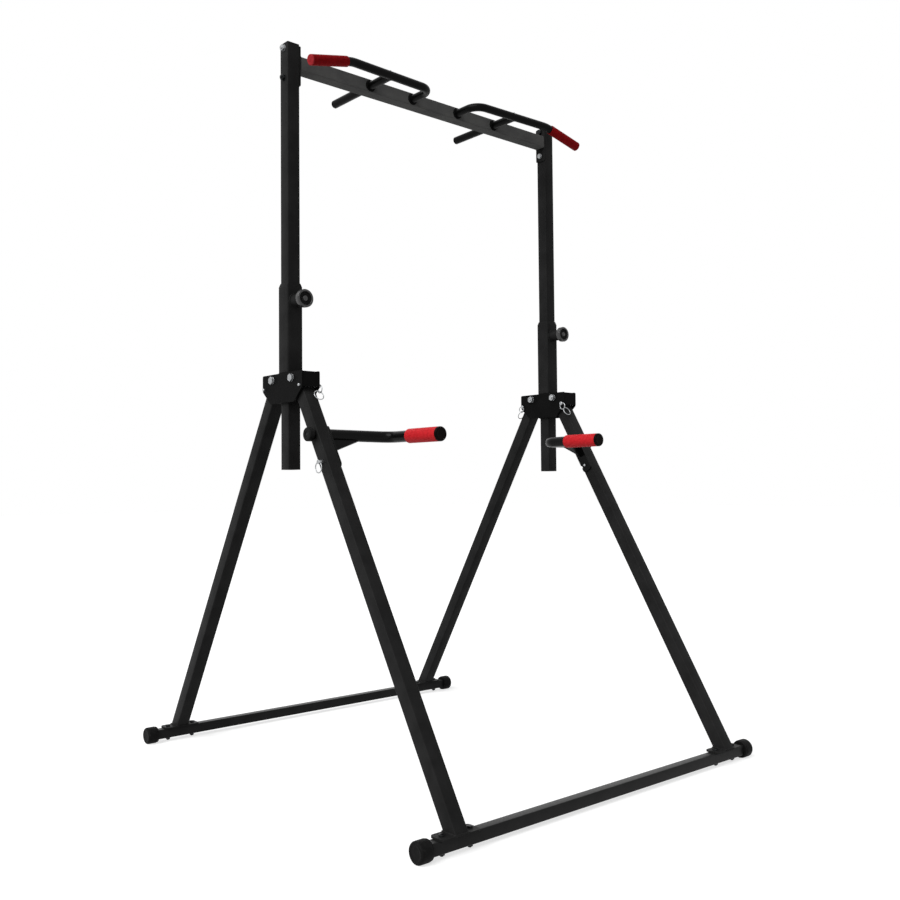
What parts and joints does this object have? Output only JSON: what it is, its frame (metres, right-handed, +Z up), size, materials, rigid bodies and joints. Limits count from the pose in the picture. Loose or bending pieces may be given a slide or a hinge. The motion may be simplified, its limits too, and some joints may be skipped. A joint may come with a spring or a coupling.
{
  "type": "dip station",
  "caption": "Folding dip station with sliding height-adjustable uprights, a bent wide-grip pull-up bar and two swing-up padded dip handles.",
  "frame": {"origin": "on the floor, midway between the two posts and the two base tubes", "axes": "+Z up, -Y the side to which the dip handles reach, +X to the right when seen from there"},
  "size_m": [1.286, 1.43, 2.0833],
  "materials": {
    "black_paint": "satin black powder coat",
    "black_rubber": "smooth moulded rubber",
    "black_plastic": "moulded plastic",
    "red_foam": "soft closed-cell foam",
    "zinc": "zinc-plated steel"
  },
  "bodies": {
    "hub": {"sleeve_left": "black_paint", "sleeve_guide_left": "black_plastic", "hub_bracket_left": "black_paint", "leg_pivot_bolt_front_left": "zinc", "leg_pivot_bolt_rear_left": "zinc", "knob_housing_left": "black_paint", "plunger_spring_left": "zinc", "sleeve_right": "black_paint", "sleeve_guide_right": "black_plastic", "hub_bracket_right": "black_paint", "leg_pivot_bolt_front_right": "zinc", "leg_pivot_bolt_rear_right": "zinc", "knob_housing_right": "black_paint", "plunger_spring_right": "zinc"},
    "front_legs": {"front_leg_left": "black_paint", "front_leg_right": "black_paint", "front_base_tube": "black_paint", "front_end_cap_left": "black_rubber", "front_end_cap_right": "black_rubber"},
    "rear_legs": {"rear_leg_left": "black_paint", "rear_leg_right": "black_paint", "rear_base_tube": "black_paint", "rear_end_cap_left": "black_rubber", "rear_end_cap_right": "black_rubber"},
    "upper_frame": {"crossbar": "black_paint", "upright_left": "black_paint", "upright_cap_left": "black_plastic", "crossbar_bolt_upper_left": "zinc", "crossbar_bolt_lower_left": "zinc", "pull_up_bar_left": "black_paint", "pull_up_grip_left": "red_foam", "pull_up_plug_left": "black_plastic", "neutral_grip_plug_left": "black_plastic", "upright_right": "black_paint", "upright_cap_right": "black_plastic", "crossbar_bolt_upper_right": "zinc", "crossbar_bolt_lower_right": "zinc", "pull_up_bar_right": "black_paint", "pull_up_grip_right": "red_foam", "pull_up_plug_right": "black_plastic", "neutral_grip_plug_right": "black_plastic"},
    "height_knob_left": {"plunger_left": "zinc", "pull_knob_left": "black_plastic"},
    "height_knob_right": {"plunger_right": "zinc", "pull_knob_right": "black_plastic"},
    "leg_pin_front_left": {"leg_lock_pin_front_left": "zinc"},
    "leg_pin_front_right": {"leg_lock_pin_front_right": "zinc"},
    "leg_pin_rear_left": {"leg_lock_pin_rear_left": "zinc"},
    "leg_pin_rear_right": {"leg_lock_pin_rear_right": "zinc"},
    "dip_arm_left": {"dip_handle_left": "black_paint", "dip_grip_left": "red_foam", "dip_end_cap_left": "black_rubber"},
    "dip_arm_right": {"dip_handle_right": "black_paint", "dip_grip_right": "red_foam", "dip_end_cap_right": "black_rubber"},
    "dip_pin_left": {"dip_lock_pin_left": "zinc"},
    "dip_pin_right": {"dip_lock_pin_right": "zinc"},
    "dip_knob_left": {"dip_pivot_knob_left": "black_plastic"},
    "dip_knob_right": {"dip_pivot_knob_right": "black_plastic"}
  },
  "joints": [
    {"name": "front_legs_fold", "type": "hinge", "parent": "hub", "child": "front_legs", "pos_m": [0, -0.05101, 1.125], "axis": [1, 0, 0], "range_deg": [0, 30]},
    {"name": "rear_legs_fold", "type": "hinge", "parent": "hub", "child": "rear_legs", "pos_m": [0, 0.05101, 1.125], "axis": [-1, 0, 0], "range_deg": [0, 30]},
    {"name": "height_slide", "type": "slide", "parent": "hub", "child": "upper_frame", "axis": [0, 0, 1], "range_m": [0, 0.25]},
    {"name": "height_knob_pull_left", "type": "slide", "parent": "hub", "child": "height_knob_left", "axis": [0, -1, 0], "range_m": [0, 0.012], "stiffness_N_per_m": 1000, "springref_m": -0.015, "deforming": ["plunger_spring_left"]},
    {"name": "height_knob_pull_right", "type": "slide", "parent": "hub", "child": "height_knob_right", "axis": [0, -1, 0], "range_m": [0, 0.012], "stiffness_N_per_m": 1000, "springref_m": -0.015, "deforming": ["plunger_spring_right"]},
    {"name": "leg_pin_pull_front_left", "type": "slide", "parent": "hub", "child": "leg_pin_front_left", "axis": [1, 0, 0], "range_m": [0, 0.06]},
    {"name": "leg_pin_pull_front_right", "type": "slide", "parent": "hub", "child": "leg_pin_front_right", "axis": [-1, 0, 0], "range_m": [0, 0.06]},
    {"name": "leg_pin_pull_rear_left", "type": "slide", "parent": "hub", "child": "leg_pin_rear_left", "axis": [1, 0, 0], "range_m": [0, 0.06]},
    {"name": "leg_pin_pull_rear_right", "type": "slide", "parent": "hub", "child": "leg_pin_rear_right", "axis": [-1, 0, 0], "range_m": [0, 0.06]},
    {"name": "dip_arm_swing_left", "type": "hinge", "parent": "front_legs", "child": "dip_arm_left", "pos_m": [-0.5, -0.14621, 0.964], "axis": [-1, 0, 0], "range_deg": [0, 100]},
    {"name": "dip_arm_swing_right", "type": "hinge", "parent": "front_legs", "child": "dip_arm_right", "pos_m": [0.5, -0.14621, 0.964], "axis": [-1, 0, 0], "range_deg": [0, 100]},
    {"name": "dip_pin_pull_left", "type": "slide", "parent": "front_legs", "child": "dip_pin_left", "axis": [-1, 0, 0], "range_m": [0, 0.05]},
    {"name": "dip_pin_pull_right", "type": "slide", "parent": "front_legs", "child": "dip_pin_right", "axis": [1, 0, 0], "range_m": [0, 0.05]},
    {"name": "dip_knob_turn_left", "type": "hinge", "parent": "front_legs", "child": "dip_knob_left", "pos_m": [-0.5453, -0.14621, 0.964], "axis": [-1, 0, 0], "continuous": true},
    {"name": "dip_knob_turn_right", "type": "hinge", "parent": "front_legs", "child": "dip_knob_right", "pos_m": [0.5453, -0.14621, 0.964], "axis": [1, 0, 0], "continuous": true}
  ]
}
